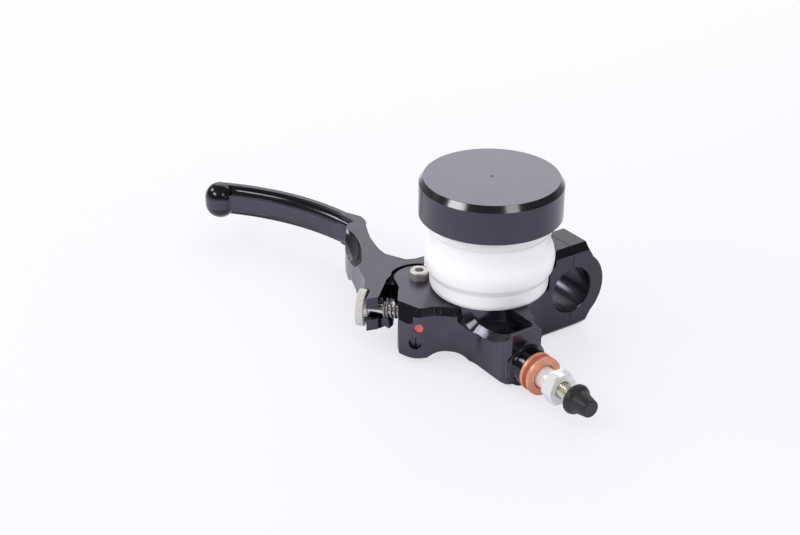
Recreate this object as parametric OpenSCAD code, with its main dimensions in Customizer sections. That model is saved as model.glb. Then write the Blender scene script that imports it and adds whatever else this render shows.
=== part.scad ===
// Radial brake master cylinder for a 22.2 mm handlebar, pull type, round reservoir.
// Millimetres. Origin: centre of the handlebar clamp bore. +X outboard along the bar,
// +Y forward from bar to lever, +Z up.

/* [Handlebar clamp] */
// Diameter of the handlebar the clamp closes on
bar_d = 22.2; // [22:0.1:28.6]
// Width of the clamp along the bar
clamp_w = 22; // [16:0.5:30]
// Outer radius of the clamp barrel
barrel_r = 18.6; // [16:0.1:22]
// Height of the clamp bosses above and below the bore axis
boss_h = 21.6; // [20:0.1:24]
// Reach of the cap bosses behind the bore axis
boss_back = 9.4; // [8:0.1:12]
// Bevel on the clamp bosses
boss_bevel = 3.1; // [1:0.1:4]

/* [Reservoir] */
// Reservoir axis, outboard of the clamp centre
res_x = 8.9; // [5:0.1:12]
// Reservoir axis, forward of the bar axis
res_y = 33.3; // [31:0.1:36]
// Radius of the reservoir cap
cap_r = 32.5; // [30:0.1:36]
// Top of the reservoir cap
cap_top = 58.9; // [50:0.1:70]
// Height of the reservoir cap
cap_h = 18.1; // [12:0.1:22]
// Inner radius of the cap skirt
skirt_r = 30.8; // [29:0.1:31]
// Radius of the reservoir neck under the cap
res_r = 27.4; // [25:0.1:30]
// Radius of the widest bulge of the reservoir
bulge_r = 29.8; // [28:0.1:31]

/* [Cylinder] */
// Height of the top plate
plate_z = 4.5; // [3:0.1:6]
// Width of the bevel round the top plate
plate_bevel = 3; // [1:0.1:4]
// Height of the push-pull rod and bore axis
rod_z = -3.8; // [-6:0.1:-2]
// Point of the rod axis at the arm, outboard
rod_x = 26.5; // [24:0.1:29]
// Point of the rod axis at the arm, forward
rod_y = 76.4; // [74:0.1:79]
// Slant of the bore to the handlebar
bore_slant = 44; // [35:0.5:50]
// Bore radius (12.7 mm piston)
bore_r = 6.35; // [5.5:0.05:8]
// Depth of the bore from the rod point
bore_end = 39.4; // [37:0.1:41]
// Radius of the pull rod
rod_r = 2.4; // [2:0.1:3]

/* [Lever] */
// Pivot axis, outboard
pivot_x = 32; // [30:0.1:34]
// Pivot axis, forward
pivot_y = 56; // [54:0.1:58]
// Underside height of the lever
lever_low = -12.1; // [-14:0.1:-10]
// Radius of the rounded tongue over the pivot
tongue_r = 11.7; // [10:0.1:13]
// Radius of the concave lever edge round the tongue
gap_r = 13.9; // [12.5:0.1:15]
// Centre of the blade curve, outboard
blade_x = 87.85; // [80:0.05:95]
// Centre of the blade curve, forward
blade_y = 171.6; // [160:0.1:180]
// Radius of the rear edge of the blade
blade_r = 126.9; // [120:0.1:135]
// Depth of the blade from rear edge to front face
blade_deep = 8.1; // [6:0.1:10]
// Radius of the ball end
ball_r = 7.75; // [7:0.05:9]

/* [Adjuster and outlet] */
// Radius of the knurled adjuster wheel
wheel_r = 8.56; // [7:0.01:10]
// Outlet axis, forward
out_y = 45.4; // [43:0.1:48]
// Outlet axis height
out_z = -12; // [-14:0.1:-10]
// Radius of the outlet neck
neck_r = 8.7; // [7:0.1:10]
// Outer radius of the copper washers
washer_r = 8.93; // [7:0.01:10]

/* [Show] */
// Sub-part to draw

/* [Hidden] */
$fn = 72;
bar_r = bar_d / 2;
half_w = clamp_w / 2;
cap_z = cap_top - cap_h;
dir_x = -cos(bore_slant);
dir_y = -sin(bore_slant);
side_x = -sin(bore_slant);
side_y = cos(bore_slant);
wall_p = 13.1;
plug_s = 16.2;
plug_z = -4.2;
grub_s = 14.6;
grub_z = -12.2;
screw_z = 16.2;
screw_x = -3;
hub_r = 4.2;
hub_end = 9.6;
lever_mid = (plate_z + lever_low) / 2;
saddle_r = bar_r + 1.8;

// Plan point at distance s along the bore and p across it
function along(s, p) = [rod_x + s * dir_x + p * side_x, rod_y + s * dir_y + p * side_y];
// Points of an arc
function arc(cx, cy, r, a0, a1, n) =
  [for (i = [0:n]) [cx + r * cos(a0 + (a1 - a0) * i / n), cy + r * sin(a0 + (a1 - a0) * i / n)]];

// Places children with their +Z along the bore, inward
module in_bore() {
  translate([rod_x, rod_y, rod_z])
    rotate([0, 0, 180 + bore_slant])
      rotate([0, 90, 0])
        children();
}

// Places children with their +Z along the outlet, away from the body
module in_outlet(x) {
  translate([x, out_y, out_z])
    rotate([0, -90, 0])
      children();
}

// Places children on the reservoir axis
module on_reservoir() {
  translate([res_x, res_y, 0])
    children();
}

// Round bar on the handlebar axis
module bar_round(r) {
  translate([-40, 0, 0])
    rotate([0, 90, 0])
      cylinder(h = 80, r = r, $fn = 96);
}

// Places children on the pivot axis
module on_pivot() {
  translate([pivot_x, pivot_y, 0])
    children();
}

// Straight drilling between two points
module drilling(from, to, r) {
  d = to - from;
  len = norm(d);
  translate(from)
    rotate([0, acos(d[2] / len), atan2(d[1], d[0])])
      cylinder(h = len, r = r, $fn = 24);
}

// Places children on the side wall with their +Z outward
module in_wall(s, z) {
  translate([along(s, wall_p)[0], along(s, wall_p)[1], z])
    rotate([0, 0, bore_slant])
      rotate([-90, 0, 0])
        children();
}

// Ring
module ring(ro, ri, h) {
  difference() {
    cylinder(h = h, r = ro);
    translate([0, 0, -1])
      cylinder(h = h + 2, r = ri);
  }
}

// Coil spring with ground ends: level slice of a round wire, turned as it rises
module coil(r, wire_r, h, turns) {
  mid = r - wire_r;
  spread = wire_r * 360 * turns / h;
  linear_extrude(height = h, twist = -360 * turns, slices = ceil(turns * 18), $fn = 16)
    polygon([for (i = [0:15])
      let (q = i * 22.5, w = mid + wire_r * sin(q), t = spread * cos(q))
      [w * cos(t), w * sin(t)]]);
}

// Wedge that bevels the top edge running from one plan point to another;
// solid side on the left of the direction of travel
module bevel_cut(from, to, size, over) {
  d = to - from;
  len = norm(d);
  translate([from[0], from[1], plate_z])
    rotate([0, 0, atan2(d[1], d[0])])
      translate([-over, 0, 0])
        rotate([90, 0, 90])
          linear_extrude(height = len + 2 * over)
            polygon([[size, 0.01], [-0.01, -size], [-8, -size], [-8, 8], [size, 8]]);
}

// Side wall of the cylinder block, from the end face toward the outlet
wall_run = [along(6.6, 10.2), along(10.5, 12.4), along(12.6, 13.1), along(15, 13.4),
  along(17.4, 12.9), along(20, 11.6), along(22.5, 10.3), along(25, 9.6), along(28, 9.4)];
// Hollow corner between the cylinder block and the outlet block
corner_r = 15.2;
corner_s = 32.9;
corner = along(corner_s, 24.4);
block_run = [along(32.9, 9.4), [corner[0], 56], [-31, 56], [-33.8, 55.2], [-35, 53.4],
  [-35, 37.3], [-28.5, 35.6], [-22.5, 33.6], [-17.5, 31.4], [-half_w, 26]];
end_run = [[37.4, 66.3], along(2.9, -7.5), along(3.6, -2), along(4.9, 5)];

// Outline of the body seen from above, counter-clockwise
module body_plan() {
  polygon(concat(
    [[-half_w, 0.15], [half_w, 0.15], [half_w, 12], [24, 18], [33, 32], [39.4, 47.0]],
    arc(pivot_x, pivot_y, tongue_r, -50, 62, 12),
    end_run, wall_run, block_run
  ));
}

module body() {
  color([0.13, 0.13, 0.14])
  difference() {
    union() {
      // Plate and pivot tongues
      translate([0, 0, lever_low])
        linear_extrude(height = plate_z - lever_low)
          body_plan();
      // Deeper cylinder block
      translate([0, 0, -19.8])
        linear_extrude(height = 10)
          polygon(concat(
            [along(3.1, -6), along(3.6, -2), along(4.9, 5)], wall_run, block_run,
            [[-half_w, 0.15], [half_w, 0.15], [half_w, 20], along(20, -9), along(3.1, -9)]));
      // Clamp saddle
      translate([-half_w, 0, 0])
        rotate([0, 90, 0])
          cylinder(h = clamp_w, r = barrel_r, $fn = 96);
      translate([-half_w, 0.15, -boss_h])
        cube([clamp_w, 15, 2 * boss_h]);
      // Outlet neck with its fillet
      in_outlet(-35)
        rotate_extrude()
          polygon(concat([[0, -1], [neck_r + 1.9, -1]],
            [for (i = [0:6]) [neck_r + 1.9 - 1.9 * sin(i * 15), 1.9 - 1.9 * cos(i * 15)]],
            [[neck_r, 6.3], [neck_r - 0.5, 6.8], [0, 6.8]]));
    }
    // Split plane of the clamp
    translate([-30, -40, -40])
      cube([60, 40.15, 80]);
    // Handlebar bore
    translate([-30, 0, 0])
      rotate([0, 90, 0])
        cylinder(h = 60, r = bar_r, $fn = 96);
    for (m = [0, 1])
      mirror([m, 0, 0])
        translate([half_w - 0.5, 0, 0])
          rotate([0, 90, 0])
            cylinder(h = 0.6, r1 = bar_r - 0.1, r2 = bar_r + 0.5, $fn = 96);
    // Bevels of the clamp bosses
    for (m = [0, 1])
      for (n = [0, 1])
        mirror([m, 0, 0])
          mirror([0, 0, n])
            translate([half_w, -1, boss_h])
              rotate([-90, 0, 0])
                linear_extrude(height = 17.5)
                  polygon([[-boss_bevel, 0], [0, boss_bevel], [1, boss_bevel], [1, -1], [-boss_bevel, -1]]);
    // Relief of the saddle round the reservoir
    difference() {
      on_reservoir()
        rotate_extrude($fn = 96)
          polygon([[0, plate_z], [27.9, plate_z], [27.9, 12.2], [30.4, 16.2], [30.4, 45], [0, 45]]);
      bar_round(saddle_r);
    }
    // Clamp screw threads
    for (z = [-screw_z, screw_z])
      translate([screw_x, 0, z])
        rotate([-90, 0, 0])
          cylinder(h = z > 0 ? 12 : 9, r = 2.52, $fn = 32);
    // Bevels round the top plate
    for (i = [2:len(wall_run) - 2])
      bevel_cut(wall_run[i], wall_run[i + 1], plate_bevel, 0.7);
    bevel_cut(wall_run[8], along(corner_s + 0.3, 9.4), plate_bevel, 0.3);
    translate([corner[0], corner[1], 0])
      rotate_extrude($fn = 120)
        polygon([[0, -40], [corner_r, -40], [corner_r, plate_z - plate_bevel],
          [corner_r + plate_bevel + 0.05, plate_z + 0.05], [corner_r + plate_bevel + 0.05, 6], [0, 6]]);
    // Slanted facet over the block corner
    translate([along(4.5, 4.7)[0], along(4.5, 4.7)[1], plate_z])
      rotate([0, 0, 180 + bore_slant - 25.7])
        rotate([90, 0, 90])
          translate([0, 0, -9])
            linear_extrude(height = 21)
              polygon([[0, 0], [-6, -10], [-14, -10], [-14, 6], [0, 6]]);
    // Hollow top of the outlet block with its bevel
    difference() {
      union() {
        intersection() {
          translate([-13, 0, 37])
            rotate([-90, 0, 0])
              rotate_extrude($fn = 240)
                polygon([[0, 39], [36, 39], [37.4, 39.6], [38, 41], [38, 53], [41.5, 56.5], [41.5, 60], [0, 60]]);
          translate([-71, 0, -40])
            cube([60, 80, 90]);
        }
        translate([-11.2, 0, 4.9])
          rotate([-90, 0, 0])
            rotate_extrude($fn = 96)
              polygon([[0, 39], [4, 39], [5.4, 39.6], [6, 41], [6, 53], [9.5, 56.5], [9.5, 60], [0, 60]]);
      }
      on_reservoir()
        translate([0, 0, -30])
          cylinder(h = 90, r = 24.6);
      on_reservoir()
        translate([-23, -70, -30])
          cube([60, 70, 90]);
    }
    bevel_cut([-35, 37.3], [-28.5, 35.6], 1.5, 0.4);
    // Slot for the lever between the pivot tongues
    on_pivot()
      translate([0, 0, lever_mid - 4])
        linear_extrude(height = 8)
          polygon(concat(arc(0, 0, 10.6, 96, 262, 20),
            [[0.5, -17], [24, -17], [24, 14], [12.4, 15.6], [3.2, 13.6]]));
    // Pivot bore and nut pocket
    on_pivot()
      translate([0, 0, -20])
        cylinder(h = 30, r = 3.03, $fn = 48);
    // Cylinder bore, gland seat and circlip groove
    in_bore() {
      translate([0, 0, -4])
        cylinder(h = bore_end + 4, r = bore_r, $fn = 96);
      translate([0, 0, -4])
        cylinder(h = 18, r = 7.2, $fn = 96);
      translate([0, 0, 7])
        cylinder(h = 1.05, r = 7.8, $fn = 96);
    }
    // Ports from the reservoir to the bore
    translate([along(32.4, 0)[0], along(32.4, 0)[1], 3.2])
      cylinder(h = 4, r = 3.5, $fn = 48);
    translate([along(34.6, 0)[0], along(34.6, 0)[1], -2])
      cylinder(h = 6, r = 1.1, $fn = 24);
    translate([along(30.2, 0)[0], along(30.2, 0)[1], -2])
      cylinder(h = 6, r = 0.5, $fn = 24);
    // Outlet thread, gallery and riser
    in_outlet(-27)
      cylinder(h = 20, r = 5.02, $fn = 48);
    drilling([-26.5, out_y, -13.2], [along(21, 0)[0], along(21, 0)[1], -13.2], 1.5);
    translate([along(21, 0)[0], along(21, 0)[1], -14])
      cylinder(h = 6, r = 1.4, $fn = 24);
    // Reservoir screw thread
    on_reservoir()
      translate([0, 0, -7])
        cylinder(h = 14, r = 2.52, $fn = 32);
    // Holes of the index plug and the grub screw
    in_wall(plug_s, plug_z)
      translate([0, 0, -1.9])
        cylinder(h = 8, r = 2.15, $fn = 32);
    in_wall(grub_s, grub_z)
      translate([0, 0, -4.5])
        cylinder(h = 10, r = 3.05, $fn = 32);
    // Undercut along the foot of the side wall
    translate([along(29.5, 4)[0], along(29.5, 4)[1], -32.6])
      rotate([0, 0, bore_slant])
        rotate([-90, 0, 0])
          cylinder(h = 40, r = 16, $fn = 96);
  }
}

module clamp_cap() {
  color([0.13, 0.13, 0.14])
  difference() {
    union() {
      translate([-half_w, 0, 0])
        rotate([0, 90, 0])
          cylinder(h = clamp_w, r = barrel_r, $fn = 96);
      translate([-half_w, 0, 0])
        rotate([90, 0, 90])
          linear_extrude(height = clamp_w)
            polygon([[0, -boss_h], [0, boss_h], [-boss_back, boss_h], [-boss_back, 18.6], [-12.2, 14],
              [-6, 0], [-12.2, -14], [-boss_back, -18.6], [-boss_back, -boss_h]]);
    }
    translate([-30, -0.15, -40])
      cube([60, 40, 80]);
    translate([-30, 0, 0])
      rotate([0, 90, 0])
        cylinder(h = 60, r = bar_r, $fn = 96);
    for (m = [0, 1])
      mirror([m, 0, 0])
        translate([half_w - 0.5, 0, 0])
          rotate([0, 90, 0])
            cylinder(h = 0.6, r1 = bar_r - 0.1, r2 = bar_r + 0.5, $fn = 96);
    for (m = [0, 1])
      for (n = [0, 1])
        mirror([m, 0, 0])
          mirror([0, 0, n])
            translate([half_w, -20, boss_h])
              rotate([-90, 0, 0])
                linear_extrude(height = 21)
                  polygon([[-boss_bevel, 0], [0, boss_bevel], [1, boss_bevel], [1, -1], [-boss_bevel, -1]]);
    for (z = [-screw_z, screw_z])
      translate([screw_x, 0, z])
        rotate([90, 0, 0]) {
          cylinder(h = 30, r = 2.75, $fn = 32);
          translate([0, 0, 5.2])
            cylinder(h = 30, r = 4.6, $fn = 48);
        }
  }
}

module socket_screw(r, len, head_r, head_h, hex) {
  difference() {
    union() {
      translate([0, 0, -len])
        cylinder(h = len + 0.5, r = r, $fn = 32);
      cylinder(h = head_h - 0.5, r = head_r, $fn = 48);
      translate([0, 0, head_h - 0.5])
        cylinder(h = 0.5, r1 = head_r, r2 = head_r - 0.5, $fn = 48);
    }
    translate([0, 0, head_h * 0.45])
      cylinder(h = head_h, r = hex / 2 / cos(30), $fn = 6);
  }
}

module clamp_screws() {
  color([0.2, 0.2, 0.22])
  for (z = [-screw_z, screw_z])
    translate([screw_x, -5.25, z])
      rotate([90, 0, 0])
        socket_screw(2.5, 9.8, 4.25, 5, 4);
}

module lever() {
  lo = lever_low;
  color([0.12, 0.12, 0.13])
  difference() {
    union() {
      // Blade with coves above and below the front web
      translate([blade_x, blade_y, 0])
        rotate([0, 0, -86])
          rotate_extrude(angle = 40.2, $fn = 360)
            polygon(concat(
              [[blade_r, lo + 0.6], [blade_r, plate_z - 0.6], [blade_r - 0.6, plate_z],
               [blade_r - 3.2, plate_z]],
              [for (i = [0:6]) [blade_r - 3.4 - 4.2 + 4.2 * cos(i * 15), plate_z - 0.2 - 4 * sin(i * 15)]],
              [[blade_r - blade_deep, 0.7], [blade_r - blade_deep, -6.8]],
              [for (i = [6:-1:0]) [blade_r - 3.4 - 4.2 + 4.2 * cos(i * 15), lo + 0.2 + 4 * sin(i * 15)]],
              [[blade_r - 3.2, lo], [blade_r - 0.6, lo]]));
      // Ball end
      translate([174, 84.7, lever_mid])
        rotate_extrude($fn = 96)
          polygon(concat([[0, -1.75 - ball_r]],
            [for (i = [-8:-1]) [ball_r * cos(i * 10.5), ball_r * sin(i * 10.5) - 1.75]],
            [[ball_r, -1.75], [ball_r, 1.75]],
            [for (i = [1:8]) [ball_r * cos(i * 10.5), ball_r * sin(i * 10.5) + 1.75]],
            [[0, ball_r + 1.75]]));
      // Arm
      translate([0, 0, lo])
        linear_extrude(height = plate_z - lo)
          polygon(concat(
            [[112, 48.6], [101.8, 43.5], [98.5, 43.8], [95.2, 44.4], [91.6, 46.7], [84.6, 50.1],
             [78.2, 52.7], [71.9, 54.4], [66.4, 55.6],
             [60.9, 55.9], [55.3, 53.3], [50.4, 50.9], [48.6, 46.9], [48.3, 41.9], [43.2, 45.3]],
            arc(pivot_x, pivot_y, gap_r, -40, 34, 10),
            [[41.3, 65.6], [38.5, 70.2], along(-4.2, -7), along(-4.2, 2.5), along(-4.4, 3.9),
             along(-9.3, 6.8), along(-9.3, -1.8),
             [37, 83.3], [43.9, 78.2], [53.5, 74.8], [65.8, 71.4], [73.8, 68.6],
             [83.6, 64.1], [91.6, 58.6], [98.1, 53.6]],
            arc(blade_x, blade_y, blade_r - 4, -85, -80, 2)));
      // Lower lip reaching under the rod
      translate([0, 0, lo])
        linear_extrude(height = 4.6)
          polygon([along(-6, 3.6), along(-3.7, 3.1), along(-1.9, 0.8), along(0.4, 2.6),
            along(1.5, -0.8), along(1.0, -5.4), [38.5, 70.2], [38, 76]]);
      // Knuckle between the tongues
      on_pivot()
        translate([0, 0, lever_mid - 3.8])
          cylinder(h = 7.6, r = 10);
      translate([0, 0, lever_mid - 3.8])
        linear_extrude(height = 7.6)
          polygon([[34, 46.6], [46.5, 45], [52.5, 54], [49, 63], [44, 68], [38, 64.5], [33.5, 65.8]]);
    }
    // Pivot eye
    on_pivot()
      translate([0, 0, -20])
        cylinder(h = 30, r = 4.5, $fn = 48);
    // Side slot for the rod
    in_bore()
      translate([-3, -14, -12])
        cube([6, 17.2, 16]);
    // Pocket for the adjuster wheel
    in_bore()
      translate([0, 0, -26])
        cylinder(h = 15.6, r = wheel_r + 0.4);
    // Seat for the hub of the adjuster wheel
    in_bore()
      translate([0, 0, -12])
        cylinder(h = 12.25 - hub_end, r = hub_r + 0.4);
    // Finger scoop on top of the arm and its mirror below
    for (n = [-1, 1])
      translate([68, 76, lever_mid + n * 17.8])
        sphere(r = 14, $fn = 96);
  }
}

module pivot_screw() {
  color([0.78, 0.78, 0.79])
  on_pivot()
    translate([0, 0, plate_z + 0.02])
      socket_screw(3, 20.4, 4.5, 4, 4);
}

module pivot_nut() {
  color([0.7, 0.7, 0.71])
  on_pivot()
    translate([0, 0, lever_low - 3.8])
      difference() {
        cylinder(h = 3.75, r = 5.0 / cos(30), $fn = 6);
        translate([0, 0, -1])
          cylinder(h = 6, r = 3.02, $fn = 48);
      }
}

module pivot_bush() {
  color([0.72, 0.55, 0.3])
  on_pivot()
    translate([0, 0, lever_mid - 3.9])
      ring(4.45, 3.05, 7.8);
}

module adjuster_knob() {
  color([0.8, 0.8, 0.78])
  in_bore()
    difference() {
      union() {
        translate([0, 0, -14.6])
          rotate_extrude()
            polygon([[0, 0], [6.6, 0], [7.7, 0.35], [8.3, 1.0], [wheel_r, 1.9], [wheel_r, 3.3],
              [8.2, 3.8], [6.2, 3.8], [5.2, 3.3], [0, 3.3]]);
        translate([0, 0, -12])
          rotate_extrude()
            polygon([[0, 0], [hub_r, 0], [hub_r, 1.6], [hub_r - 0.3, 2.1], [hub_r - 0.9, 12 - hub_end],
              [0, 12 - hub_end]]);
      }
      translate([0, 0, -20])
        cylinder(h = 20, r = rod_r + 0.05, $fn = 48);
    }
}

module pull_rod() {
  color([0.82, 0.82, 0.83])
  in_bore()
    difference() {
      translate([0, 0, -14.2])
        cylinder(h = 51.4, r = rod_r, $fn = 48);
      translate([0, 0, -14.5])
        cylinder(h = 2, r = 1.15, $fn = 6);
    }
}

module rod_spring() {
  color([0.8, 0.8, 0.8])
  in_bore()
    translate([0, 0, -2.9])
      coil(3.7, 0.5, 8.8, 4);
}

module gland_bush() {
  color([0.75, 0.6, 0.32])
  in_bore()
    translate([0, 0, 8.1])
      difference() {
        ring(7.15, rod_r + 0.05, 5.85);
        translate([0, 0, -0.1])
          cylinder(h = 1.5, r = 4.2, $fn = 48);
      }
}

module circlip() {
  color([0.3, 0.3, 0.32])
  in_bore()
    translate([0, 0, 7.05])
      difference() {
        ring(7.75, 6.0, 0.95);
        translate([0, -1.6, -1])
          cube([10, 3.2, 4]);
      }
}

module rod_seal() {
  color([0.09, 0.09, 0.1])
  in_bore()
    translate([0, 0, 14.02])
      difference() {
        ring(6.3, rod_r + 0.05, 2.6);
        translate([0, 0, 1.2])
          ring(5.4, 3.4, 3);
      }
}

module return_spring() {
  color([0.75, 0.75, 0.76])
  in_bore()
    translate([0, 0, 17.3])
      coil(5.6, 0.5, 13, 5);
}

module primary_cup() {
  color([0.09, 0.09, 0.1])
  in_bore()
    translate([0, 0, 30.6])
      difference() {
        ring(6.3, 3.05, 2.4);
        translate([0, 0, -1])
          ring(5.4, 3.9, 2.2);
      }
}

module piston() {
  color([0.74, 0.75, 0.77])
  in_bore()
    difference() {
      translate([0, 0, 30.4])
        rotate_extrude()
          polygon([[rod_r + 0.02, 0], [3, 0], [3, 2.65], [6.3, 2.65], [6.3, 3.3], [4.6, 3.5],
            [4.6, 4.9], [6.3, 5.1], [6.3, 5.8], [4.4, 5.8], [4.4, 7.4], [6.3, 7.4],
            [6.3, 8.5], [5.9, 8.9], [0, 8.9], [0, 7.0], [rod_r + 0.02, 7.0]]);
    }
}

module secondary_cup() {
  color([0.09, 0.09, 0.1])
  in_bore()
    translate([0, 0, 36.25])
      ring(6.3, 4.42, 1.5);
}

module reservoir() {
  color([0.93, 0.94, 0.93, 0.85])
  difference() {
    union() {
      on_reservoir()
        rotate_extrude($fn = 96)
          polygon([[0, plate_z + 0.02], [25, plate_z + 0.02], [26.2, 5.2], [26.9, 6.2], [27.2, 7.4],
            [res_r, 12.6], [28.2, 14.2], [29.2, 15.9], [29.5, 17.6], [bulge_r, 20], [bulge_r, 22],
            [29.1, 25], [28.2, 27], [27.5, 28.6], [res_r, 30], [res_r, 34.1], [28, 34.2],
            [28, 34.8], [res_r, 34.9], [res_r, 52],
            [res_r - 1.8, 52], [res_r - 1.8, 43.4], [25, 42.4], [25, 7.4], [0, 7.4]]);
      // Inner wall of the hollow over the handlebar
      intersection() {
        on_reservoir()
          translate([0, 0, plate_z + 0.5])
            cylinder(h = 14, r = 25.5);
        bar_round(saddle_r + 2.1);
      }
    }
    // Hollow over the handlebar
    bar_round(saddle_r + 0.3);
    on_reservoir()
      translate([0, 0, 3])
        cylinder(h = 6, r = 2.75, $fn = 32);
    translate([along(32.4, 0)[0], along(32.4, 0)[1], 3])
      cylinder(h = 6, r = 2.8, $fn = 32);
  }
}

module reservoir_seal() {
  color([0.09, 0.09, 0.1])
  translate([along(32.4, 0)[0], along(32.4, 0)[1], 3.25])
    ring(3.4, 2.5, 1.22);
}

module reservoir_screw() {
  color([0.7, 0.7, 0.72])
  on_reservoir()
    translate([0, 0, 7.45])
      socket_screw(2.5, 13, 4.6, 3.2, 3);
}

module diaphragm() {
  color([0.1, 0.1, 0.11])
  on_reservoir()
    rotate_extrude()
      polygon([[0, 42], [15, 42], [15, 48], [21, 48], [21, 40], [24.6, 40], [24.6, 52.1],
        [res_r - 0.1, 52.1], [res_r - 0.1, 53.6], [23.2, 53.6], [23.2, 41.4], [22.4, 41.4], [22.4, 49.4],
        [13.6, 49.4], [13.6, 43.4], [0, 43.4]]);
}

module reservoir_cap() {
  color([0.15, 0.15, 0.16])
  on_reservoir()
    difference() {
      rotate_extrude($fn = 120)
        polygon([[0.6, cap_top], [cap_r - 1.9, cap_top], [cap_r, cap_top - 2.8], [cap_r, cap_z + 0.3],
          [cap_r - 0.3, cap_z], [skirt_r + 0.2, cap_z], [skirt_r, cap_z + 0.2], [skirt_r, 53.9],
          [0.6, 53.9]]);
    }
}

module banjo_bolt() {
  color([0.85, 0.86, 0.88])
  in_outlet(-47.9)
    difference() {
      union() {
        translate([0, 0, -20])
          cylinder(h = 21, r = 4.95, $fn = 48);
        intersection() {
          cylinder(h = 9.6, r = 6.5 / cos(30), $fn = 6);
          rotate_extrude($fn = 48)
            polygon([[0, 2], [6.7, 2], [7.55, 3], [7.55, 8.4], [6.6, 9.6], [0, 9.6]]);
        }
        translate([0, 0, 9.4])
          cylinder(h = 1.4, r1 = 5.6, r2 = 5.2, $fn = 48);
        translate([0, 0, 10.8])
          cylinder(h = 2.2, r1 = 4.6, r2 = 4.2, $fn = 48);
      }
      translate([0, 0, -21])
        cylinder(h = 22, r = 1.6, $fn = 32);
      translate([0, 0, 0.5])
        cylinder(h = 14, r = 2.55, $fn = 32);
      rotate([0, 0, 15])
        translate([-8, 0, -1.2])
          rotate([0, 90, 0])
            cylinder(h = 16, r = 0.9, $fn = 20);
    }
}

module bleed_screw() {
  color([0.82, 0.8, 0.66])
  in_outlet(-47.9)
    difference() {
      union() {
        translate([0, 0, 1.2])
          cylinder(h = 1.4, r1 = 1.2, r2 = 2.5, $fn = 32);
        translate([0, 0, 2.6])
          cylinder(h = 11, r = 2.5, $fn = 32);
        translate([0, 0, 13.6])
          cylinder(h = 4.4, r = 2.6 / cos(30), $fn = 6);
        translate([0, 0, 17.6])
          rotate_extrude($fn = 32)
            polygon([[0, 0], [1.9, 0], [1.9, 1.4], [2.5, 2.0], [2.5, 2.8], [1.7, 6.6], [0, 6.6]]);
      }
      translate([0, 0, 3.4])
        cylinder(h = 22, r = 0.7, $fn = 20);
      translate([-5, 0, 3.6])
        rotate([0, 90, 0])
          cylinder(h = 5, r = 0.5, $fn = 16);
    }
}

module bleed_cap() {
  color([0.16, 0.16, 0.17])
  in_outlet(-67.6)
    difference() {
      rotate_extrude($fn = 64)
        polygon([[0, 0], [6, 0], [6.7, 0.7], [6.9, 1.8], [6.5, 3.0], [5.6, 3.6], [5.2, 4.3],
          [4.0, 10.9], [3.6, 11.4], [0, 11.4]]);
      translate([0, 0, -1])
        cylinder(h = 2.6, r = 3.3, $fn = 40);
      translate([0, 0, 1])
        cylinder(h = 6, r = 2.85, $fn = 40);
    }
}

module copper_washer_inner() {
  color([0.75, 0.45, 0.32])
  in_outlet(-41.85)
    ring(washer_r, 5.7, 1.7);
}

module copper_washer_outer() {
  color([0.75, 0.45, 0.32])
  in_outlet(-46.1)
    ring(washer_r, 5.7, 1.75);
}

module index_plug() {
  color([0.75, 0.32, 0.25])
  in_wall(plug_s, plug_z)
    translate([0, 0, -1.85])
      cylinder(h = 1.7, r = 2.12, $fn = 32);
}

module grub_screw() {
  color([0.1, 0.1, 0.11])
  in_wall(grub_s, grub_z)
    translate([0, 0, -4.45])
      difference() {
        cylinder(h = 2.4, r = 3, $fn = 32);
        translate([-0.4, -4, 1.5])
          cube([0.8, 8, 2]);
      }
}

body();
clamp_cap();
clamp_screws();
lever();
pivot_screw();
pivot_nut();
pivot_bush();
adjuster_knob();
pull_rod();
rod_spring();
gland_bush();
circlip();
rod_seal();
return_spring();
primary_cup();
piston();
secondary_cup();
reservoir();
reservoir_cap();
diaphragm();
reservoir_seal();
reservoir_screw();
banjo_bolt();
bleed_screw();
bleed_cap();
copper_washer_inner();
copper_washer_outer();
index_plug();
grub_screw();
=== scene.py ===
import math
import bpy
from mathutils import Matrix, Vector


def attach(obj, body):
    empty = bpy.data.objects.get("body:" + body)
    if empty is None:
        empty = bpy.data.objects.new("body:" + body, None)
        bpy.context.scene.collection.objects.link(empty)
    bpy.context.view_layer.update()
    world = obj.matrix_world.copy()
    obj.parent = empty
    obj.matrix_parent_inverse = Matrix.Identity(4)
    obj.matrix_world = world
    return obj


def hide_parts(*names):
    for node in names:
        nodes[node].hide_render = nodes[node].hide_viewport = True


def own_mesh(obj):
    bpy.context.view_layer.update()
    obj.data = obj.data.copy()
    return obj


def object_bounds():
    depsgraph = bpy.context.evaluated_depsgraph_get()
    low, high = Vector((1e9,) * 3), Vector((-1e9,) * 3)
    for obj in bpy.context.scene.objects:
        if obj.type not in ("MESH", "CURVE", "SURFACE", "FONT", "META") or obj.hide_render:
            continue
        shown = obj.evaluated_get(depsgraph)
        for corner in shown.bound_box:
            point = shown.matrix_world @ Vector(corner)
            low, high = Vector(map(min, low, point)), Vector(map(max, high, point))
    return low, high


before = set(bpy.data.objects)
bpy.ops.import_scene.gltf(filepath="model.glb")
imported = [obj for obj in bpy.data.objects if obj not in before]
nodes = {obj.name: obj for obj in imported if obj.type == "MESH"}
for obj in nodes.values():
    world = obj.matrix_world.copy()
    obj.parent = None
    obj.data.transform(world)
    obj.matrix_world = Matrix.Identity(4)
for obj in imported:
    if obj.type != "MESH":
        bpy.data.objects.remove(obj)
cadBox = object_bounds()
scene = bpy.context.scene
mm = 0.001
print("frame loaded,", len(nodes), "parts")


# shader sums

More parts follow.
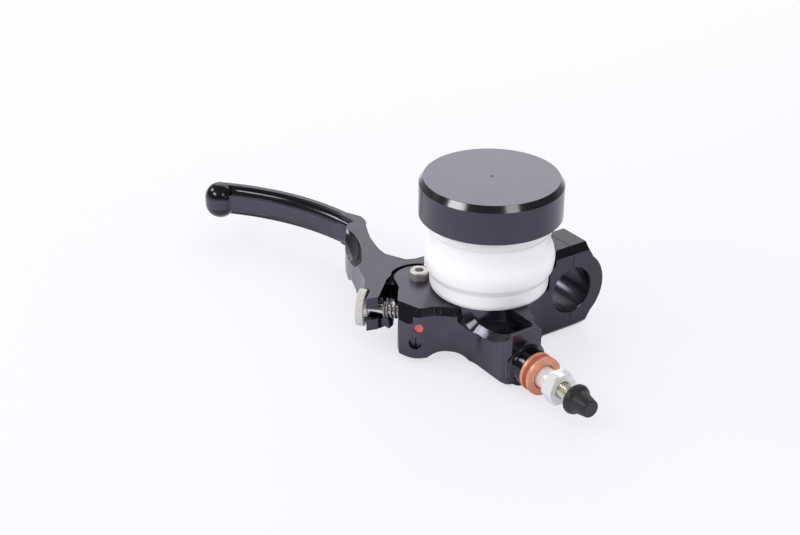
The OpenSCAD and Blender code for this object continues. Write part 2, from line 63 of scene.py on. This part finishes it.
class Wire:
    # a socket that can stand in a plain sum
    def __init__(self, finish, socket):
        self.finish = finish
        self.socket = socket

    def sum(self, operation, first, second):
        return self.finish.node("Math", {"operation": operation}, {0: first, 1: second})

    def __add__(self, other):
        return self.sum("ADD", self, other)

    def __radd__(self, other):
        return self.sum("ADD", other, self)

    def __sub__(self, other):
        return self.sum("SUBTRACT", self, other)

    def __rsub__(self, other):
        return self.sum("SUBTRACT", other, self)

    def __mul__(self, other):
        return self.sum("MULTIPLY", self, other)

    def __rmul__(self, other):
        return self.sum("MULTIPLY", other, self)

    def __abs__(self):
        return self.sum("ABSOLUTE", self, 0.0)

    def max(self, other):
        return self.sum("MAXIMUM", self, other)

    def sine(self):
        return self.sum("SINE", self, 0.0)

    def rise(self, low, high):
        # 0 below low, 1 above high
        return self.finish.node("MapRange", {"interpolation_type": "SMOOTHSTEP"},
                                {"Value": self, "From Min": low, "From Max": high})

    def band(self, low, high, soft):
        return self.rise(low - soft, low) * (1 - self.rise(high, high + soft))


class Finish:
    # one material and its node tree
    def __init__(self, name, **shader):
        self.material = bpy.data.materials.new(name)
        self.material.use_nodes = True
        self.tree = self.material.node_tree
        self.shader = self.tree.nodes["Principled BSDF"]
        coords = self.tree.nodes.new("ShaderNodeTexCoord")
        self.place = Wire(self, coords.outputs["Object"])
        self.facing = Wire(self, coords.outputs["Normal"])
        self.set(**shader)

    def plug(self, socket, value):
        if isinstance(value, Wire):
            self.tree.links.new(value.socket, socket)
        elif socket.type == "RGBA":
            socket.default_value = (*value[:3], 1)
        else:
            socket.default_value = value

    def set(self, **shader):
        for key, value in shader.items():
            self.plug(self.shader.inputs[key.replace("_", " ")], value)

    def node(self, kind, settings=None, inputs=None, output=0):
        made = self.tree.nodes.new("ShaderNode" + kind)
        for key, value in (settings or {}).items():
            setattr(made, key, value)
        for key, value in (inputs or {}).items():
            self.plug(made.inputs[key], value)
        return Wire(self, made.outputs[output])

    def mix(self, mask, first, second):
        return self.node("Mix", {"data_type": "RGBA"}, {0: mask, 6: first, 7: second}, 2)

    def axes(self, wire):
        split = self.tree.nodes.new("ShaderNodeSeparateXYZ")
        self.tree.links.new(wire.socket, split.inputs[0])
        return [Wire(self, o) for o in split.outputs]

    def grain(self, size, detail=2.0, rough=0.5, stretch=None, seed=0.0):
        # noise whose blotches are about this size, in millimetres
        where = self.place
        if stretch:
            where = self.node("Mapping", {}, {"Vector": where, "Scale": stretch})
        return self.node("TexNoise", {"noise_dimensions": "4D"},
                         {"Vector": where, "W": seed, "Scale": 1 / (size * mm), "Detail": detail,
                          "Roughness": rough})

    def edge(self, radius):
        # 1 on rounded-off edges, 0 on open faces
        soft = self.node("Bevel", {"samples": 6}, {"Radius": radius * mm})
        true = Wire(self, self.tree.nodes.new("ShaderNodeNewGeometry").outputs["Normal"])
        same = self.node("VectorMath", {"operation": "DOT_PRODUCT"}, {0: soft, 1: true}, 1)
        return soft, (1 - same).rise(0.01, 0.2)

    def relief(self, height, depth, over, strength):
        # bumps up to depth millimetres, on top of the rounded edges
        self.set(Normal=self.node("Bump", {}, {"Height": height, "Distance": depth * mm,
                                               "Strength": strength, "Normal": over}))


def dress(finish, *names):
    for name in names:
        part = nodes[name]
        if not part.material_slots:
            part.data.materials.append(finish.material)
        for slot in part.material_slots:
            slot.material = finish.material


# finishes

# polish, satin and blasted are roughnesses; cloud, speck, scrape and brush are sizes in millimetres
# clamp is how deep the painted shade on the bar clamp end goes
anodise = {"dye": (0.074, 0.067, 0.091), "wornAndHighlight": (0.17, 0.165, 0.18), "cut": (0.036, 0.033, 0.043),
           "polish": 0.14, "satin": 0.24, "blasted": 0.42, "metal": 0.95, "seal": 0.35, "clamp": 0.68,
           "cloud": 9, "speck": 0.22, "scrape": 3.1, "brush": 0.35, "wearAndHighlight": 0.55}


def satinAnodise(name, bevels, tint=1.0):
    # bead-blasted and dyed alloy; machined bevels stay glossy
    f = Finish(name, Metallic=anodise["metal"], IOR=1.6, Coat_Weight=anodise["seal"],
               Coat_Roughness=0.2, Coat_IOR=1.5)
    x, y = f.axes(f.place)[:2]
    nz = f.axes(f.facing)[2]
    cut = bevels(f)
    soft, edge = f.edge(0.35)
    cloud = f.grain(anodise["cloud"], 3.0)
    speck = f.grain(anodise["speck"], 2.0, 0.7)
    scrape = f.grain(anodise["scrape"], 3.0, 0.7, seed=4.0).rise(0.3, 0.6)
    dark = [c * tint for c in anodise["dye"]]
    lighter = [c * tint * 1.16 for c in anodise["dye"]]
    base = f.mix(cloud.rise(0.35, 0.65), dark, lighter)
    # painted shade: the bar clamp end takes a darker colour
    base = f.mix(clampPaintedShade(x, y), base, [c * anodise["clamp"] for c in anodise["dye"]])
    base = f.mix(cut, base, anodise["cut"])
    # lighter edges: partly wear, partly a painted highlight along the rounded edges
    f.set(Base_Color=f.mix(edge * anodise["wearAndHighlight"] * scrape, base, anodise["wornAndHighlight"]))
    flat = abs(nz).rise(0.9, 0.98) * (anodise["blasted"] - anodise["satin"])
    rough = flat + anodise["satin"] + (cloud - 0.5) * 0.09 + (speck - 0.5) * 0.12
    f.set(Roughness=rough * (1 - cut) + cut * (anodise["polish"] + (cloud - 0.5) * 0.05))
    lines = (f.grain(anodise["brush"], 1.0, stretch=(1, 1, 5)) - 0.5) * 0.35
    f.relief((speck - 0.5) * (1 - cut) + lines * cut, 0.018, over=soft, strength=0.5)
    return f


clampShadeFade = {"front": (0.012, 0.03), "side": (0.06, 0.07)}  # metres


def clampPaintedShade(x, y):
    # painted shade: the bar clamp end is darkened, standing in for the shade it sits in
    return (1 - y.rise(*clampShadeFade["front"])) * (1 - x.rise(*clampShadeFade["side"]))


# how far up a face looks to count as a bevel, and places on the body in metres
glossy = {"slant": (0.46, 0.76), "hollow": (0.05, 0.96), "lever": (0.14, 0.97), "soft": 0.03,
          "sideways": (0.2, 0.3), "plateFrom": (0.021, 0.022), "hollowAcross": (-0.034, -0.011),
          "hollowFloor": -0.007, "neckEnd": -0.0355, "cornerAcross": (-0.019, -0.0105),
          "cornerFront": 0.0535}


def bodyBevels(f):
    # the plate's slanting bevel, the milled hollow and the outlet neck, but not one blunt corner
    x, y, z = f.axes(f.place)
    facing = f.axes(f.facing)
    sideways, upward = abs(facing[0]), abs(facing[2])
    slant = upward.band(*glossy["slant"], glossy["soft"])
    slant = slant * sideways.rise(*glossy["sideways"]).max(y.rise(*glossy["plateFrom"]))
    milled = upward.band(*glossy["hollow"], glossy["soft"]) * x.band(*glossy["hollowAcross"], 0.0004)
    milled = milled * z.rise(glossy["hollowFloor"], glossy["hollowFloor"] + 0.0004)
    neck = 1 - x.rise(glossy["neckEnd"] - 0.0002, glossy["neckEnd"] + 0.0002)
    corner = x.band(*glossy["cornerAcross"], 0.0005)
    corner = corner * y.rise(glossy["cornerFront"], glossy["cornerFront"] + 0.001)
    return slant.max(milled).max(neck) * (1 - corner)


def leverBevels(f):
    return abs(f.axes(f.facing)[2]).band(*glossy["lever"], glossy["soft"])


bodyFinish = satinAnodise("satinBodyAnodise", bodyBevels)
leverFinish = satinAnodise("satinLeverAnodise", leverBevels, 0.95)
dress(bodyFinish, "body", "clamp_cap")
dress(leverFinish, "lever")

# top lightens the cap's upward faces as painted light from above
capFinish = {"dye": (0.059, 0.054, 0.074), "cut": (0.075, 0.072, 0.077), "top": 2.1, "satin": 0.3,
             "chamfer": 0.14, "cloud": 12, "speck": 0.2, "wearAndHighlight": 0.3}


def capAnodise():
    # the same dye on a turned cap, with painted light on the flat top (its upward faces lightened) and a
    # glossy chamfer
    f = Finish("satinCapAnodise", Metallic=anodise["metal"], IOR=1.6, Coat_Weight=anodise["seal"],
               Coat_Roughness=0.2, Coat_IOR=1.5)
    nz = f.axes(f.facing)[2]
    soft, edge = f.edge(0.3)
    cut = nz.band(0.3, 0.92, 0.05)
    cloud = f.grain(capFinish["cloud"], 3.0)
    speck = f.grain(capFinish["speck"], 2.0, 0.7)
    base = f.mix(cloud.rise(0.3, 0.7), capFinish["dye"], [c * 1.12 for c in capFinish["dye"]])
    # painted light: faces pointing up are lightened as if lit from above
    base = f.mix(nz.rise(0.93, 0.98), base, [c * capFinish["top"] for c in capFinish["dye"]])
    base = f.mix(cut, base, capFinish["cut"])
    # lighter edges: partly wear, partly a painted highlight along the rounded edges
    f.set(Base_Color=f.mix(edge * capFinish["wearAndHighlight"], base, anodise["wornAndHighlight"]))
    rough = capFinish["satin"] + (cloud - 0.5) * 0.08 + (speck - 0.5) * 0.12
    f.set(Roughness=rough * (1 - cut) + capFinish["chamfer"] * cut)
    f.relief((speck - 0.5) * (1 - cut), 0.016, over=soft, strength=0.5)
    return f


dress(capAnodise(), "reservoir_cap")

plastic = {"milk": (0.87, 0.865, 0.88), "deep": (0.84, 0.84, 0.86), "rough": 0.36, "scatter": 0.003,
           "cloud": 14, "swirl": 1.1, "speck": 0.25}


def milkyPlastic():
    # moulded and translucent: light scatters a little under the skin
    f = Finish("milkyPlastic", Subsurface_Weight=0.8, Subsurface_Scale=plastic["scatter"],
               Subsurface_Radius=(1.0, 1.0, 1.0), IOR=1.49)
    cloud = f.grain(plastic["cloud"], 3.0)
    swirl = f.grain(plastic["swirl"], 3.0, 0.6, stretch=(1, 1, 0.3))
    f.set(Base_Color=f.mix(cloud.rise(0.3, 0.75) * 0.35, plastic["milk"], plastic["deep"]))
    f.set(Roughness=plastic["rough"] + (swirl - 0.5) * 0.14)
    f.relief(swirl + f.grain(plastic["speck"], 1.0) * 0.5, 0.02, over=f.edge(0.25)[0], strength=0.35)
    return f


dress(milkyPlastic(), "reservoir")


turning = {"lines": 9000.0, "depth": 0.006, "wobble": 2.0, "cloud": 3.2, "knurlPaintedShade": 0.7}


def turnedMetal(name, colour, rough, centre, axis, tarnish=0.1, metal=1.0, knurl=None):
    # lathe-turned metal: fine rings about an axis through centre
    f = Finish(name, Metallic=metal, IOR=2.0)
    local = f.node("VectorMath", {"operation": "SUBTRACT"}, {0: f.place, 1: centre})
    along = f.node("VectorMath", {"operation": "DOT_PRODUCT"}, {0: local, 1: axis}, 1)
    rest = f.node("VectorMath", {"operation": "CROSS_PRODUCT"}, {0: local, 1: axis})
    radius = f.node("VectorMath", {"operation": "LENGTH"}, {0: rest}, 1)
    rings = ((along + radius) * turning["lines"] + f.grain(turning["wobble"]) * 1.6).sine()
    cloud = f.grain(turning["cloud"], 3.0, 0.6)
    soft, edge = f.edge(0.15)
    dull = [c * (1 - tarnish) for c in colour]
    base = f.mix(cloud.rise(0.35, 0.7), colour, dull)
    if knurl:
        # painted shade: the knurl pits are darkened
        base = f.mix(radius.band(*knurl), base, [c * turning["knurlPaintedShade"] for c in colour])
    # lighter edges: partly wear, partly a painted highlight along the rounded edges
    f.set(Base_Color=f.mix(edge * 0.4, base, [min(1, c * 1.15) for c in colour]))
    f.set(Roughness=rough + (cloud - 0.5) * 0.16 + rings * 0.03)
    f.relief(rings, turning["depth"], over=soft, strength=0.6)
    return f


boreTurn = math.radians(44)
boreAxis = (-math.cos(boreTurn), -math.sin(boreTurn), 0.0)
boreStart = (0.0265, 0.0764, -0.0038)
outletAxis = (-1.0, 0.0, 0.0)
outletStart = (-0.035, 0.0454, -0.012)
upAxis = (0.0, 0.0, 1.0)
pivotPlace = (0.032, 0.056, 0.0)

copper = turnedMetal("copperWasher", (0.86, 0.36, 0.22), 0.45, outletStart, outletAxis, tarnish=0.14,
                     metal=0.55)
zincBolt = turnedMetal("zincSteel", (0.94, 0.94, 0.96), 0.36, outletStart, outletAxis, metal=0.45)
yellowZinc = turnedMetal("yellowZinc", (0.79, 0.77, 0.60), 0.3, outletStart, outletAxis, metal=0.75)
wheelAlloy = turnedMetal("wheelAlloy", (0.97, 0.94, 0.925), 0.34, boreStart, boreAxis, metal=0.3,
                         knurl=(8.22 * mm, 8.4 * mm, 0.05 * mm))
rodSteel = turnedMetal("rodSteel", (0.72, 0.72, 0.73), 0.2, boreStart, boreAxis)
springSteel = turnedMetal("springSteel", (0.50, 0.46, 0.45), 0.36, boreStart, boreAxis, tarnish=0.25,
                          metal=0.85)
bushBronze = turnedMetal("bushBronze", (0.66, 0.45, 0.22), 0.34, boreStart, boreAxis)
pistonAlloy = turnedMetal("pistonAlloy", (0.66, 0.67, 0.69), 0.3, boreStart, boreAxis)
pivotSteel = turnedMetal("pivotSteel", (0.6, 0.56, 0.56), 0.4, pivotPlace, upAxis, metal=0.75)
blackSteel = turnedMetal("blackenedSteel", (0.11, 0.108, 0.115), 0.36, (-0.003, 0, 0), (0, 1, 0),
                         metal=0.9)
dress(copper, "copper_washer_inner", "copper_washer_outer")
dress(zincBolt, "banjo_bolt")
dress(yellowZinc, "bleed_screw")
dress(wheelAlloy, "adjuster_knob")
dress(rodSteel, "pull_rod")
dress(springSteel, "rod_spring", "return_spring")
dress(bushBronze, "gland_bush", "pivot_bush")
dress(pistonAlloy, "piston")
dress(pivotSteel, "pivot_screw", "pivot_nut", "reservoir_screw")
dress(blackSteel, "clamp_screws", "circlip", "grub_screw")


def rubber(name, colour, rough, grainSize=0.3):
    # soft moulded skin with a fine grain
    f = Finish(name, IOR=1.48)
    cloud = f.grain(4.0, 3.0)
    speck = f.grain(grainSize, 2.0, 0.6)
    soft, edge = f.edge(0.2)
    base = f.mix(cloud.rise(0.3, 0.7), colour, [c * 1.25 for c in colour])
    # lighter edges: partly wear, partly a painted highlight along the rounded edges
    f.set(Base_Color=f.mix(edge * 0.5, base, [c * 1.7 + 0.01 for c in colour]))
    f.set(Roughness=rough + (speck - 0.5) * 0.16)
    f.relief(speck, 0.03, over=soft, strength=0.45)
    return f


dress(rubber("dustRubber", (0.017, 0.016, 0.019), 0.44), "bleed_cap")
dress(rubber("sealRubber", (0.022, 0.022, 0.024), 0.42), "rod_seal", "primary_cup", "secondary_cup",
      "reservoir_seal", "diaphragm")
dress(rubber("redPlug", (0.46, 0.10, 0.07), 0.36, 0.5), "index_plug")
print("finishes made,", len(bpy.data.materials))


# floor, light and camera

farAway = (0.828, -0.561, 0.0)  # level direction from the camera past the part
# metres; the floor seen by the camera fades to pure white with distance
room = {"size": 6.0, "floor": (0.69, 0.69, 0.75), "glow": (0.965, 0.95, 1.0), "whiteFrom": (0.05, 0.5),
        "shown": 0.72}
bpy.ops.object.select_all(action="DESELECT")
bpy.ops.mesh.primitive_plane_add(size=room["size"], location=(0, 0, cadBox[0].z - 0.0001))
floor = bpy.context.object
floor.name = "floor"
white = Finish("paleFloor", Roughness=0.6, Base_Color=room["floor"])
lightPath = white.tree.nodes.new("ShaderNodeLightPath")
distance = white.node("VectorMath", {"operation": "DOT_PRODUCT"}, {0: white.place, 1: farAway}, 1)
glowColour = white.mix(distance.rise(*room["whiteFrom"]), room["glow"], (1, 1, 1))
glow = white.node("Emission", {}, {"Color": glowColour})
seen = Wire(white, lightPath.outputs["Is Camera Ray"])
lit = Wire(white, white.shader.outputs[0])
shown = white.node("MixShader", {}, {0: seen * room["shown"], 1: lit, 2: glow})
white.tree.links.new(shown.socket, white.tree.nodes["Material Output"].inputs["Surface"])
floor.data.materials.append(white.material)

# what gloss sees in front, behind and above; the fill lights everything else
studio = {"front": 0.14, "back": 0.45, "top": 0.2, "fill": 1.0, "turns": (0.25, 0.7), "rises": (0.5, 0.9)}
scene.world = bpy.data.worlds.new("studio")
scene.world.use_nodes = True
sky = scene.world.node_tree


def skyNode(kind, **settings):
    made = sky.nodes.new("ShaderNode" + kind)
    for key, value in settings.items():
        setattr(made, key, value)
    return made


path = skyNode("LightPath")
where = skyNode("TexCoord")
toward = skyNode("VectorMath", operation="DOT_PRODUCT")
toward.inputs[1].default_value = farAway
sky.links.new(where.outputs["Generated"], toward.inputs[0])
level = skyNode("MapRange", interpolation_type="SMOOTHSTEP")
sky.links.new(toward.outputs["Value"], level.inputs["Value"])
split = skyNode("SeparateXYZ")
sky.links.new(where.outputs["Generated"], split.inputs[0])
lift = skyNode("MapRange", interpolation_type="SMOOTHSTEP")
sky.links.new(split.outputs[2], lift.inputs["Value"])
for ramp, ends in {level: (*studio["turns"], studio["front"], studio["back"]),
                   lift: (*studio["rises"], 0, 1)}.items():
    for key, value in zip(("From Min", "From Max", "To Min", "To Max"), ends):
        ramp.inputs[key].default_value = value
total = skyNode("Mix")
sky.links.new(lift.outputs[0], total.inputs[0])
sky.links.new(level.outputs[0], total.inputs[2])
total.inputs[3].default_value = studio["top"]
cards = skyNode("Mix")  # dark cards show only in gloss
sky.links.new(path.outputs["Is Glossy Ray"], cards.inputs[0])
cards.inputs[2].default_value = studio["fill"]
sky.links.new(total.outputs[0], cards.inputs[3])
plain = sky.nodes["Background"]
plain.inputs["Color"].default_value = (1, 1, 1, 1)
sky.links.new(cards.outputs[0], plain.inputs["Strength"])
scene.world.cycles.sampling_method = "NONE"
back = skyNode("Background")
back.inputs["Color"].default_value = (1, 1, 1, 1)
back.inputs["Strength"].default_value = 1.0
both = skyNode("MixShader")
sky.links.new(path.outputs["Is Camera Ray"], both.inputs[0])
sky.links.new(plain.outputs[0], both.inputs[1])
sky.links.new(back.outputs[0], both.inputs[2])
sky.links.new(both.outputs[0], sky.nodes["World Output"].inputs["Surface"])

# each soft box: compass turn and height in degrees, distance and sides in metres, power in watts
lamps = {
    "slimWindow": {"turn": 37, "up": 33, "away": 0.75, "wide": 0.17, "high": 0.15, "power": 0.9},
    "leftWindow": {"turn": 85, "up": 36, "away": 0.75, "wide": 0.33, "high": 0.14, "power": 1.25},
    "rightWindow": {"turn": 180, "up": 41, "away": 0.75, "wide": 0.22, "high": 0.24, "power": 0.6},
    "backPanel": {"turn": -38, "up": 34, "away": 0.8, "wide": 0.9, "high": 0.5, "power": 1.8},
}
middle = Vector((0.02, 0.045, 0.01))
for name, lamp in lamps.items():
    data = bpy.data.lights.new(name, "AREA")
    data.shape = "RECTANGLE"
    data.size = lamp["wide"]
    data.size_y = lamp["high"]
    data.energy = lamp["power"]
    bulb = bpy.data.objects.new(name, data)
    scene.collection.objects.link(bulb)
    turn, up = math.radians(lamp["turn"]), math.radians(lamp["up"])
    out = Vector((math.cos(turn) * math.cos(up), math.sin(turn) * math.cos(up), math.sin(up)))
    bulb.location = middle + out * lamp["away"]
    bulb.rotation_euler = out.to_track_quat("Z", "Y").to_euler()

# place in metres, angles in degrees, lens and film in millimetres
shot = {"place": (-0.46925, 0.40654, 0.33486), "down": 28.0, "turn": -124.13, "lens": 67.5,
        "film": 36}
camData = bpy.data.cameras.new("camera")
camData.lens = shot["lens"]
camData.sensor_width = shot["film"]
camera = bpy.data.objects.new("camera", camData)
scene.collection.objects.link(camera)
camera.location = shot["place"]
camera.rotation_euler = (math.radians(90 - shot["down"]), 0, math.radians(shot["turn"]))
scene.camera = camera
scene.view_settings.view_transform = "Standard"
print("floor, light and camera ready")


# made pieces

weldGap = 0.000002


def clearPick():
    if bpy.context.object and bpy.context.object.mode != "OBJECT":
        bpy.ops.object.mode_set(mode="OBJECT")
    bpy.ops.object.select_all(action="DESELECT")


def pickFaces(piece, test):
    # selects faces by their place, then opens edit mode
    bpy.ops.object.mode_set(mode="OBJECT")
    mesh = piece.data
    for group in (mesh.vertices, mesh.edges, mesh.polygons):
        for item in group:
            item.select = False
    for face in mesh.polygons:
        face.select = bool(test(face))
    bpy.ops.object.mode_set(mode="EDIT")
    bpy.ops.mesh.select_mode(type="FACE")


def lathe(name, outline, segments):
    # a ring extruded and scaled up an outline of (radius, height) points, in millimetres
    clearPick()
    r0, z0 = outline[0]
    bpy.ops.mesh.primitive_circle_add(vertices=segments, radius=r0 * mm, location=(0, 0, z0 * mm))
    piece = bpy.context.object
    piece.name = name
    bpy.ops.object.transform_apply(location=True, rotation=True, scale=True)
    bpy.ops.object.mode_set(mode="EDIT")
    bpy.ops.mesh.select_mode(type="EDGE")
    bpy.ops.mesh.select_all(action="SELECT")
    for (ra, za), (rb, zb) in zip(outline, outline[1:]):
        bpy.ops.mesh.extrude_region_move(TRANSFORM_OT_translate={"value": (0, 0, (zb - za) * mm)})
        k = rb / ra
        bpy.ops.transform.resize(value=(k, k, 1), center_override=(0, 0, zb * mm))
    return piece


def closeRings(capped=True):
    # on the piece in hand: fills open ends, or joins the first ring to the last if it is hollow
    bpy.ops.object.mode_set(mode="EDIT")
    bpy.ops.mesh.select_mode(type="VERT")
    bpy.ops.mesh.select_all(action="SELECT")
    bpy.ops.mesh.remove_doubles(threshold=weldGap)
    if capped:
        bpy.ops.mesh.select_all(action="DESELECT")
        bpy.ops.mesh.select_non_manifold()
        bpy.ops.mesh.edge_face_add()
    bpy.ops.mesh.select_all(action="SELECT")
    bpy.ops.mesh.normals_make_consistent(inside=False)
    bpy.ops.object.mode_set(mode="OBJECT")


def settle(piece, start, axis, finish, body, smooth):
    # lays a piece made up +Z onto an axis, with its place in its mesh
    clearPick()
    piece.select_set(True)
    bpy.context.view_layer.objects.active = piece
    bpy.ops.object.shade_smooth_by_angle(angle=math.radians(smooth))
    turn = Vector((0, 0, 1)).rotation_difference(Vector(axis)).to_matrix().to_4x4()
    piece.data.transform(Matrix.Translation(Vector(start)) @ turn)
    piece.data.update()
    piece.data.materials.clear()
    piece.data.materials.append(finish.material)
    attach(piece, body)


def alongBore(distance):
    return Vector(boreStart) + Vector(boreAxis) * distance * mm


def outOfOutlet(place):
    return (place * mm, outletStart[1], outletStart[2])


def useModifier(piece, kind, **settings):
    clearPick()
    piece.select_set(True)
    bpy.context.view_layer.objects.active = piece
    made = piece.modifiers.new("shape", kind)
    for key, value in settings.items():
        setattr(made, key, value)
    bpy.ops.object.modifier_apply(modifier=made.name)


def coilRun(radius, wire, rise, turns, turned, height):
    # one run of wire; turned is where it starts, in whole turns
    steps = max(6, round(40 * turns))
    clearPick()
    bpy.ops.mesh.primitive_circle_add(vertices=14, radius=wire * mm, location=(radius * mm, 0, 0),
                                      rotation=(math.radians(90), 0, 0))
    run = bpy.context.object
    bpy.ops.object.transform_apply(location=True, rotation=True, scale=True)
    useModifier(run, "SCREW", angle=math.radians(360 * turns), screw_offset=rise * mm,
                steps=steps, render_steps=steps, axis="Z", use_merge_vertices=True,
                use_smooth_shade=True)
    run.rotation_euler = (0, 0, math.radians(360 * turned))
    run.location = (0, 0, height * mm)
    bpy.ops.object.transform_apply(location=True, rotation=True, scale=True)
    return run


def coilSpring(name, s):
    # closed end coils below and above open ones
    radius, wire, high = s["radius"], s["wire"], s["height"]
    dead = 0.9
    end = wire * 2.05 * dead
    parts = [coilRun(radius, wire, end, dead, 0, wire),
             coilRun(radius, wire, high - 2 * wire - 2 * end, s["turns"], dead, wire + end),
             coilRun(radius, wire, end, dead, dead + s["turns"], high - wire - end)]
    clearPick()
    for part in parts:
        part.select_set(True)
    bpy.context.view_layer.objects.active = parts[0]
    bpy.ops.object.join()
    piece = bpy.context.object
    piece.name = name
    closeRings()
    return piece


# sizes in millimetres; start is measured along the bore
rodSpringSettings = {"start": -2.9, "radius": 3.2, "wire": 0.5, "height": 8.8, "turns": 3.2}
rodSpring = coilSpring("rodSpring", rodSpringSettings)
settle(rodSpring, alongBore(rodSpringSettings["start"]), boreAxis, springSteel, "base",
       60)
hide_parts("rod_spring")

returnSpringSettings = {"start": 17.3, "radius": 5.1, "wire": 0.5, "height": 13.0, "turns": 3.6,
                        "pressed": 0.63}
returnSpring = coilSpring("returnSpring", returnSpringSettings)
springSeat = alongBore(returnSpringSettings["start"])
settle(returnSpring, springSeat, boreAxis, springSteel, "base", 60)
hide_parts("return_spring")
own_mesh(returnSpring)
print("springs wound")

wheelSettings = {"start": -14.6, "rim": 8.56, "hub": 4.2, "hole": 2.46, "thick": 3.8, "long": 5.0,
                 "teeth": 66, "rows": 4, "bite": 0.28, "land": 0.15, "first": 0.45, "last": 3.6,
                 "knurlFrom": 8.4}


def knurledWheel(w):
    # a turned wheel with its hub; each facet of the rim is inset into a knurl pit
    rim, hub, hole, thick = w["rim"], w["hub"], w["hole"], w["thick"]
    step = (w["last"] - w["first"]) / w["rows"]
    outline = [(hole, 0.0), (7.4, 0.0), (8.1, 0.12), (rim, w["first"])]
    outline += [(rim, w["first"] + step * i) for i in range(1, w["rows"] + 1)]
    outline += [(8.2, thick), (6.2, thick), (5.2, 3.35), (hub, 3.3), (hub, 4.2), (3.9, 4.7),
                (3.3, w["long"]), (hole, w["long"]), (hole, 0.0)]
    piece = lathe("knurledWheel", outline, w["teeth"])
    closeRings(capped=False)
    pickFaces(piece, lambda f: w["first"] * mm < f.center.z < w["last"] * mm
              and Vector(f.center[:2]).length > w["knurlFrom"] * mm)
    bpy.ops.mesh.inset(thickness=w["land"] * mm, depth=-w["bite"] * mm, use_individual=True)
    bpy.ops.object.mode_set(mode="OBJECT")
    return piece


wheel = knurledWheel(wheelSettings)
settle(wheel, alongBore(wheelSettings["start"]), boreAxis, wheelAlloy, "adjuster", 30)
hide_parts("adjuster_knob")
print("adjuster wheel knurled")

# start is the place along the bar; the rest is measured outward from there
boltSettings = {"start": -47.9, "inner": -20.0, "neck": 4.95, "head": 7.1, "end": 12.6, "corner": 8.1,
                "hole": 1.6, "bore": 3.32, "sink": 3.8}


def hexBolt(b):
    # a turned blank met with a six-sided bar; the round neck lies inside the flats
    outline = [(b["hole"], b["inner"]), (b["neck"] - 0.4, b["inner"]), (b["neck"], b["inner"] + 0.5),
               (b["neck"], b["head"]), (b["corner"] - 0.9, b["head"]), (b["corner"], b["head"] + 0.5),
               (b["corner"], b["end"] - 0.75), (b["corner"] - 1.3, b["end"]), (b["sink"] + 0.5, b["end"]),
               (b["sink"], b["end"] - 0.3), (b["bore"], b["end"] - 1.3), (b["bore"], 0.5),
               (b["hole"], 0.4), (b["hole"], b["inner"])]
    piece = lathe("hexBolt", outline, 72)
    closeRings(capped=False)
    clearPick()
    bpy.ops.mesh.primitive_cylinder_add(vertices=6, radius=b["corner"] * mm, depth=80 * mm)
    bar = bpy.context.object
    useModifier(piece, "BOOLEAN", operation="INTERSECT", solver="EXACT", object=bar)
    bpy.data.objects.remove(bar)
    return piece


bolt = hexBolt(boltSettings)
settle(bolt, outOfOutlet(boltSettings["start"]), outletAxis, zincBolt, "base", 25)
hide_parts("banjo_bolt")
print("hollow bolt made")

nippleSettings = {"start": -49.2, "core": 2.85, "crest": 0.3, "pitch": 1.0, "length": 16.6,
                  "firstThread": 1.8, "groove": 1.9, "barb": 2.45, "hole": 0.7}


def threadedNipple(n):
    # core, groove and hose barb turned in one, then the thread wound on and joined
    end = n["length"]
    outline = [(1.2, 0.0), (n["core"], 1.3), (n["core"], end), (n["groove"], end + 0.3),
               (n["groove"], end + 1.1), (n["barb"], end + 1.8), (n["barb"], end + 2.6),
               (1.7, end + 6.3), (n["hole"], end + 6.4), (n["hole"], 1.0), (1.2, 0.0)]
    piece = lathe("bleedNipple", outline, 40)
    closeRings(capped=False)
    turns = round((end - 2.4) / n["pitch"])
    clearPick()
    bpy.ops.mesh.primitive_circle_add(vertices=4, radius=n["crest"] * 1.4 * mm,
                                      location=(n["core"] * mm, 0, n["firstThread"] * mm),
                                      rotation=(math.radians(90), 0, 0))
    ridge = bpy.context.object
    bpy.ops.object.transform_apply(location=True, rotation=True, scale=True)
    useModifier(ridge, "SCREW", angle=math.radians(360 * turns), screw_offset=turns * n["pitch"] * mm,
                steps=32 * turns, render_steps=32 * turns, axis="Z", use_merge_vertices=True)
    closeRings()
    clearPick()
    for part in (piece, ridge):
        part.select_set(True)
    bpy.context.view_layer.objects.active = piece
    bpy.ops.object.join()
    return piece


nipple = threadedNipple(nippleSettings)
settle(nipple, outOfOutlet(nippleSettings["start"]), outletAxis, yellowZinc, "bleeder", 30)
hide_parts("bleed_screw")
print("bleed nipple threaded")

# the scoop's middle and half-lengths in millimetres, and its turn in degrees
leverSettings = {"place": (77.0, 69.0, 8.6), "reach": (25.0, 9.2, 9.2), "turn": -26.0}


def mergedCopy(name, source):
    # a CAD part's loose triangles joined into one solid that can be carved
    piece = bpy.data.objects.new(name, nodes[source].data.copy())
    scene.collection.objects.link(piece)
    clearPick()
    piece.select_set(True)
    bpy.context.view_layer.objects.active = piece
    bpy.ops.object.mode_set(mode="EDIT")
    bpy.ops.mesh.select_all(action="SELECT")
    bpy.ops.mesh.remove_doubles(threshold=weldGap)
    bpy.ops.mesh.dissolve_limited(angle_limit=math.radians(0.05))
    bpy.ops.object.mode_set(mode="OBJECT")
    return piece


def carvedLever(w):
    # the long finger scoop along the outer edge of the arm
    piece = mergedCopy("carvedLever", "lever")
    clearPick()
    bpy.ops.mesh.primitive_uv_sphere_add(segments=64, ring_count=32, radius=mm)
    cutter = bpy.context.object
    cutter.scale = w["reach"]
    cutter.rotation_euler = (0, 0, math.radians(w["turn"]))
    cutter.location = [c * mm for c in w["place"]]
    bpy.ops.object.transform_apply(location=True, rotation=True, scale=True)
    useModifier(piece, "BOOLEAN", operation="DIFFERENCE", solver="EXACT", object=cutter)
    bpy.data.objects.remove(cutter)
    return piece


lever = carvedLever(leverSettings)
settle(lever, (0, 0, 0), upAxis, leverFinish, "lever", 30)
useModifier(lever, "WEIGHTED_NORMAL", keep_sharp=True, weight=100)
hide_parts("lever")
print("lever carved")
